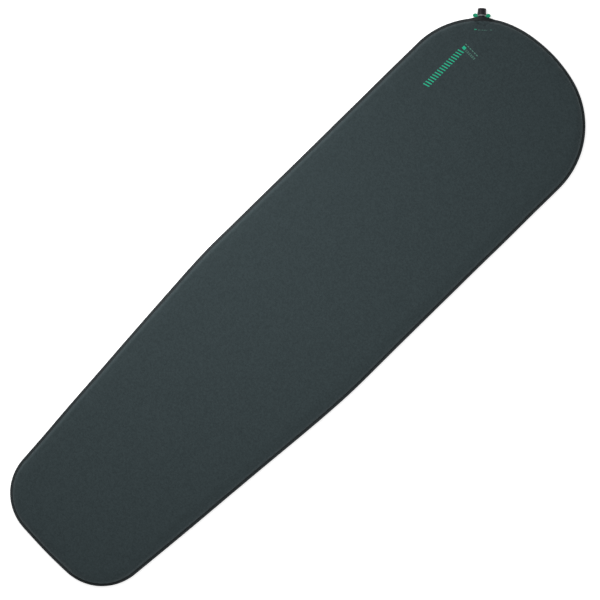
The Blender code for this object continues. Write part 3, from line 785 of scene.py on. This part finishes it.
def add_patch(shape, corners):
    """A patch of ink a fraction of a millimetre thick, laid on the top face, inside four plan
    corners.
    """
    a, b, c, d = (Vector(corner) for corner in corners)
    last, across = INK_CELLS
    layers = []
    for offset in (INK_HEIGHT, -INK_DEPTH):
        rows = []
        for i in range(last + 1):
            near, far = a.lerp(b, i / last), d.lerp(c, i / last)
            spots = [near.lerp(far, j / across) for j in range(across + 1)]
            rows.append([shape.verts.new((*p, height_of_top(*p) + offset)) for p in spots])
        layers.append(rows)
    top, low = layers
    for i in range(last):
        for j in range(across):
            shape.faces.new((top[i][j], top[i + 1][j], top[i + 1][j + 1], top[i][j + 1]))
            shape.faces.new((low[i][j], low[i][j + 1], low[i + 1][j + 1], low[i + 1][j]))
        for j, flip in ((0, 1), (across, -1)):
            side = (top[i][j], low[i][j], low[i + 1][j], top[i + 1][j])
            shape.faces.new(side[::flip])
    for i, flip in ((0, -1), (last, 1)):
        for j in range(across):
            side = (top[i][j], low[i][j], low[i][j + 1], top[i][j + 1])
            shape.faces.new(side[::flip])


def print_marks(name, material, patches):
    """One piece of ink for all the patches, each given by its plan corners."""
    shape = bmesh.new()
    for corners in patches:
        add_patch(shape, corners)
    bmesh.ops.recalc_face_normals(shape, faces=shape.faces)
    mesh = bpy.data.meshes.new(name)
    shape.to_mesh(mesh)
    shape.free()
    mesh.materials.append(material)
    piece = bpy.data.objects.new(name, mesh)
    bpy.context.scene.collection.objects.link(piece)
    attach(piece, "pad")
    return piece


def bar(x, y, width, length, slant=0.0):
    """Plan corners of a bar, width along X and length along Y, leaning along Y by slant."""
    across, along, lean = width / 2 * MM, length / 2 * MM, slant / 2 * MM
    x, y = x * MM, y * MM
    return [
        (x - across, y - along - lean), (x - across, y + along - lean),
        (x + across, y + along + lean), (x + across, y - along + lean),
    ]


def by_valve(across, along, width, length):
    """Plan corners of a bar beside the valve, width across its axis, length along it."""
    corners = []
    for i, j in ((-1, -1), (-1, 1), (1, 1), (1, -1)):
        place = Vector((across + i * width / 2, 0, along + j * length / 2)) * MM
        corners.append((VALVE @ place).xy)
    return corners


# Bars as (x, y, width, length and slant), in millimetres from the pad's centre
HATCH = [bar(-165, 675 + 8.1 * (i - 7.5), 16, 3.0, 5.0) for i in range(16)]
HATCH += [bar(-165, 748, 8.6, 8.6), by_valve(16.0, -34.5, 6.2, 1.6)]
print_marks("printed_hatching", INK, HATCH)
DASHES = [bar(-167.5 + 7.7 * i, 757.5, 5.0, 2.6) for i in range(6)]
DASHES += [bar(-156 + 5.6 * i, y, 3.8, 1.8) for y in (748.5, 745) for i in range(6)]
print_marks("printed_dashes", FAINT_INK, DASHES)
# Bars as (across, along, width and length), in millimetres from the valve's origin
MARKS = [by_valve(-23.0, -34.8, 4.6, 1.3)]
MARKS += [by_valve(a, -35.8, b, 1.2) for a, b in ((6.9, 6.0), (-1.5, 4.4), (-7.7, 4.4), (-12.7, 2.3))]
print_marks("printed_valve_marks", FAINT_INK, MARKS)


# Valve

def arc(radius, height, size, first, last, steps=5):
    """Profile points on a quarter round: centre, size, first and last angle in degrees."""
    turns = [radians(first + (last - first) * i / steps) for i in range(steps + 1)]
    return [(radius + size * cos(turn), height + size * sin(turn)) for turn in turns]


def turned(name, profile, steps, reach=None):
    """Turn a closed profile, in millimetres and with its outer side downwards, about local Z.

    reach(radius, height, angle), where it is given, is the radius to use instead.
    """
    places, faces = [], []
    for step in range(steps):
        angle = 2 * pi * step / steps
        for radius, height in profile:
            if reach:
                radius = reach(radius, height, angle)
            places.append(Vector((radius * cos(angle), radius * sin(angle), height)) * MM)
    count = len(profile)
    for step in range(steps):
        here, there = step * count, (step + 1) % steps * count
        for i in range(count):
            j = (i + 1) % count
            faces.append((here + i, here + j, there + j, there + i))
    return new_piece(name, places, faces)


def face_outwards(piece):
    """Turn all faces of a closed piece outwards."""
    shape = bmesh.new()
    shape.from_mesh(piece.data)
    bmesh.ops.recalc_face_normals(shape, faces=shape.faces)
    shape.to_mesh(piece.data)
    shape.free()
    return piece


def solid_outline(name, points, half_depth):
    """A flat outline in millimetres in the local XZ plane, half_depth thick to both sides."""
    count = len(points)
    places = [Vector((x, side * half_depth, z)) * MM for side in (-1, 1) for x, z in points]
    faces = [tuple(range(count)), tuple(range(2 * count - 1, count - 1, -1))]
    faces += [(i, i + count, (i + 1) % count + count, (i + 1) % count) for i in range(count)]
    return face_outwards(new_piece(name, places, faces))


def round_edges(piece, width, segments):
    """Give a piece's sharp edges a bevel of a width in millimetres."""
    rounding = piece.modifiers.new("round", "BEVEL")
    rounding.width = width * MM
    rounding.segments = segments
    rounding.limit_method = "ANGLE"
    rounding.angle_limit = radians(40)


def combine(piece, operation, *others):
    """Join the others to a piece, or cut them from it, and remove them."""
    for other in others:
        modifier = piece.modifiers.new(other.name, "BOOLEAN")
        modifier.operation = operation
        modifier.solver = "EXACT"
        modifier.object = other
    bake(piece)
    for other in others:
        bpy.data.objects.remove(other)
    return piece


def finish_valve_piece(piece, body, node, material, sharp=32):
    """Put a piece on the valve's axis in place of its frame node."""
    piece.data.transform(VALVE)
    piece.data.materials.clear()
    piece.data.materials.append(material)
    piece.data.shade_smooth()
    piece.data.set_sharp_from_angle(angle=radians(sharp))
    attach(piece, body)
    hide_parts(node)
    return piece


def knob_reach(radius, height, angle):
    """Radius of the knob's wall, with flutes that run out above its lower rim."""
    if radius < KNOB_WALL or height < KNOB_BOTTOM + 1.0:
        return radius
    turn = angle * FLUTES / (2 * pi)
    off_centre = abs(turn - round(turn)) / (FLUTE_SHARE / 2)
    run_out = min(1.0, (height - KNOB_BOTTOM - 1.0) / 1.2)
    return radius - FLUTE_DEPTH * run_out * (1 + cos(pi * min(1.0, off_centre))) / 2


def knob():
    """Twist knob: fluted skirt, rounded top with a sunk outlet, and the tube inside it."""
    walls = [(10.86 + 0.44 * (19.4 - z) / 13.0, z) for z in (17.5, 14.5, 11.5, 9.0, 7.5, 6.9)]
    profile = [(6.2, KNOB_TOP), *arc(9.7, KNOB_TOP - 1.1, 1.1, 90, 8), *walls]
    profile += [(11.3, 6.3), *arc(10.9, KNOB_BOTTOM + 0.4, 0.4, 0, -90, 3)]
    profile += [(9.9, KNOB_BOTTOM), (9.5, 18.8), (8.3, 18.8), (8.3, KNOB_BOTTOM)]
    profile += [(5.8, KNOB_BOTTOM), (5.8, 7.0), (7.2, 7.0), (7.2, 8.8), (5.8, 8.8), (5.8, 16.0)]
    profile += [(5.0, 16.8), (3.5, 16.8), (3.5, 19.0), (3.9, 19.4), (5.6, 20.9)]
    piece = turned("valve_knob", profile, FLUTES * FLUTE_STEPS, knob_reach)
    return finish_valve_piece(piece, "knob", "mouthpiece", BLACK)


def wing(facing):
    """One flat rounded wing, with a shallow dish on both sides for the thumb."""
    count = 64
    points, dish = [], []
    for i in range(count):
        angle = 2 * pi * i / count
        corner = abs(cos(angle)) ** WING_SQUARENESS + abs(sin(angle)) ** WING_SQUARENESS
        reach = corner ** (-1 / WING_SQUARENESS)
        x, z = (size * reach * turn for size, turn in zip(WING_HALF_SIZE, (cos(angle), sin(angle))))
        points.append((facing * (WING_CENTRE[0] + x), WING_CENTRE[1] + z))
        dish.append((facing * (WING_CENTRE[0] + 0.9 + 0.62 * x), WING_CENTRE[1] + 0.62 * z))
    lobe = solid_outline(f"wing_{facing}", points, WING_HALF_THICKNESS)
    round_edges(lobe, 0.75, 4)
    bake(lobe)
    for side in (-1, 1):
        hollow = solid_outline("dish", dish, 0.6)
        hollow.location.y = side * (WING_HALF_THICKNESS + 0.25) * MM
        round_edges(hollow, 0.3, 2)
        combine(lobe, "DIFFERENCE", bake(hollow))
    return lobe


def cam_notch(start):
    """Space that the poppet's bar needs under the sleeve while the collar turns."""
    slope = POPPET_LIFT / (pi / 2)
    first, last = radians(15), (SLEEVE_END - CAM_TOP) / slope
    places, steps = [], 24
    for i in range(steps + 1):
        angle = first + (last - first) * i / steps
        top = CAM_TOP + slope * min(angle, 0.0)
        for radius, height in ((5.0, top), (8.0, top), (8.0, -11.0), (5.0, -11.0)):
            turn = start + angle
            places.append(Vector((radius * cos(turn), radius * sin(turn), height)) * MM)
    faces = [(0, 1, 2, 3), tuple(4 * steps + i for i in (3, 2, 1, 0))]
    for i in range(steps):
        for j in range(4):
            k = (j + 1) % 4
            faces.append((4 * i + j, 4 * i + 4 + j, 4 * i + 4 + k, 4 * i + k))
    return face_outwards(new_piece("cam_notch", places, faces))


def collar():
    """Turning collar: neck, flange and cam sleeve in dark plastic, with two green wings."""
    profile = [(5.0, NECK_TOP), *arc(5.0, NECK_TOP - 0.4, 0.4, 90, 0, 3), (5.4, 2.2), (5.7, 1.9)]
    profile += [*arc(8.8, 1.5, 0.4, 90, 0, 3), *arc(9.0, 0.6, 0.2, 0, -90, 2), (7.1, 0.4)]
    profile += [(7.1, -0.9), (5.6, -0.9), (5.6, -2.7), (7.1, -2.7), (7.1, -4.0), (7.6, -4.3)]
    profile += [(7.6, -4.8), (7.1, -5.2), (7.1, SLEEVE_END), (5.4, SLEEVE_END), (5.4, -4.8)]
    profile += [(4.2, -3.6), (4.2, NECK_TOP - 0.3), (4.5, NECK_TOP)]
    piece = turned("valve_collar", profile, TURNED_STEPS)
    for facing in (1, -1):
        corners = ((7, 0.4), (16, 0.4), (16, 1.9), (7, 1.9))
        arm = solid_outline("arm", [(x * facing, z) for x, z in corners], 1.3)
        combine(piece, "UNION", arm, wing(facing))
    for radius, low, high in ((11.9, 4.9, 12.0), (9.6, 2.0, 5.2)):
        room = [(radius, high), (radius, low), (7.0, low), (7.0, high)]
        combine(piece, "DIFFERENCE", turned("room", room, TURNED_STEPS))
    combine(piece, "DIFFERENCE", cam_notch(0.0), cam_notch(pi))
    beyond = [abs(polygon.center.x) > 9.3 * MM for polygon in piece.data.polygons]
    finish_valve_piece(piece, "collar", "wing_collar", GREEN)
    piece.data.materials.append(BLACK)
    for polygon, green in zip(piece.data.polygons, beyond):
        polygon.material_index = 0 if green else 1
    return piece


def ring():
    """Grey ring round the neck, with a fine groove in its face."""
    profile = [(8.0, 4.8), (8.3, 5.0), *arc(8.9, 4.6, 0.4, 90, 0, 4), (9.3, 3.8), (9.15, 3.65)]
    profile += [(9.15, 3.45), (9.3, 3.3), *arc(8.9, 2.6, 0.4, 0, -90, 4), (5.7, 2.2), (5.7, 5.0)]
    profile += [(7.5, 5.0), (7.7, 4.8)]
    piece = turned("valve_ring", profile, TURNED_STEPS)
    return finish_valve_piece(piece, "collar", "neck_ring", GREY)


def spring():
    """Light coil between the guide's hub and the poppet's bar, with closed ends."""
    turns, wire_radius, coil_radius, per_turn, sides = 5.0, 0.25, 2.3, 32, 10
    count = int(turns * per_turn)
    places, faces = [], []
    for i in range(count + 1):
        share = i / count
        angle = 2 * pi * turns * share
        height = SPRING_BOTTOM + (SPRING_TOP - SPRING_BOTTOM) * share
        for side in range(sides):
            turn = 2 * pi * side / sides
            radius = coil_radius + wire_radius * cos(turn)
            rise = height + wire_radius * sin(turn)
            places.append(Vector((radius * cos(angle), radius * sin(angle), rise)) * MM)
    for i in range(count):
        for side in range(sides):
            j = (side + 1) % sides
            a, b = i * sides, (i + 1) * sides
            faces.append((a + side, b + side, b + j, a + j))
    faces += [tuple(range(sides)), tuple(count * sides + i for i in reversed(range(sides)))]
    piece = new_piece("valve_spring", places, faces)
    finish_valve_piece(piece, "pad", "poppet_spring", STEEL, 60)
    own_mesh(piece)
    return piece


def rounded_copy(node, body, width):
    """A moulded piece of a frame node's own shape, with its edges rounded, in its place."""
    shape = bmesh.new()
    shape.from_mesh(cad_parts[node].data)
    bmesh.ops.remove_doubles(shape, verts=shape.verts, dist=0.001 * MM)
    bmesh.ops.dissolve_limit(shape, angle_limit=radians(0.5), verts=shape.verts, edges=shape.edges)
    piece = new_piece(f"rounded_{node}", [], [], BLACK)
    shape.to_mesh(piece.data)
    shape.free()
    round_edges(piece, width, 2)
    bake(piece, 32)
    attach(piece, body)
    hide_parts(node)
    return piece


knob()
collar()
ring()
spring()

ROUNDED = {
    "valve_base": ("pad", 0.25), "poppet_guide": ("pad", 0.12),
    "stem_plug": ("collar", 0.12), "poppet": ("one_way_valve", 0.12),
}
for node, (body, width) in ROUNDED.items():
    rounded_copy(node, body, width)
for node, finish in (("collar_seal", RUBBER), ("mouth_seal", RUBBER), ("poppet_seal", SILICONE)):
    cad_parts[node].material_slots[0].material = finish


# Stage

def pale_floor():
    """Wide sheet of paper under the pad, which glows a little and so stays white."""
    corners = [(x, y, FLOOR_Z) for x, y in ((-40, -40), (40, -40), (40, 40), (-40, 40))]
    floor = new_piece("floor", corners, [(0, 1, 2, 3)])
    paper = Nodes("floor_paper", 0.9)
    paper.colour(paper.between(paper.noise(3.0), (0.90, 0.90, 0.90), (0.93, 0.93, 0.93)))
    paper.set(Emission_Color=(1.0, 1.0, 1.0, 1.0), Emission_Strength=0.7)
    floor.data.materials.append(paper.material)


def area_light(name, place, size, power):
    """A round light that faces the origin."""
    light = bpy.data.lights.new(name, "AREA")
    light.shape = "DISK"
    light.size = size
    light.energy = power
    lamp = bpy.data.objects.new(name, light)
    lamp.location = place
    lamp.rotation_euler = (-Vector(place)).to_track_quat("-Z", "Y").to_euler()
    bpy.context.scene.collection.objects.link(lamp)


def studio_sky():
    """White surroundings, bright at the horizon and dimmer overhead."""
    world = bpy.data.worlds.new("studio")
    bpy.context.scene.world = world
    world.use_nodes = True
    tree = world.node_tree
    direction = tree.nodes.new("ShaderNodeTexCoord")
    height = tree.nodes.new("ShaderNodeSeparateXYZ")
    fade = tree.nodes.new("ShaderNodeMapRange")
    for socket, value in zip(fade.inputs[1:5], (*SKY_FADE, HORIZON_LIGHT, SKY_LIGHT)):
        socket.default_value = value
    tree.links.new(direction.outputs["Generated"], height.inputs[0])
    tree.links.new(height.outputs["Z"], fade.inputs["Value"])
    tree.links.new(fade.outputs["Result"], tree.nodes["Background"].inputs["Strength"])
    tree.nodes["Background"].inputs["Color"].default_value = (1.0, 1.0, 1.0, 1.0)


def camera_above():
    """Camera straight above the pad, turned so that the head is at the picture's upper right."""
    lens = bpy.data.cameras.new("camera")
    lens.lens = 100.0
    lens.sensor_width = 36.0
    camera = bpy.data.objects.new("camera", lens)
    forwards = Vector((-CAMERA_RIGHT.y, CAMERA_RIGHT.x, 0.0))
    turn = Matrix((CAMERA_RIGHT, forwards, Vector((0, 0, 1)))).transposed().to_4x4()
    camera.matrix_world = Matrix.Translation(CAMERA_PLACE) @ turn
    bpy.context.scene.collection.objects.link(camera)
    bpy.context.scene.camera = camera


pale_floor()
area_light("key_light", place=(-0.76, 0.08, 1.53), size=0.9, power=23.5)
studio_sky()
bpy.context.scene.view_settings.view_transform = "Standard"
camera_above()
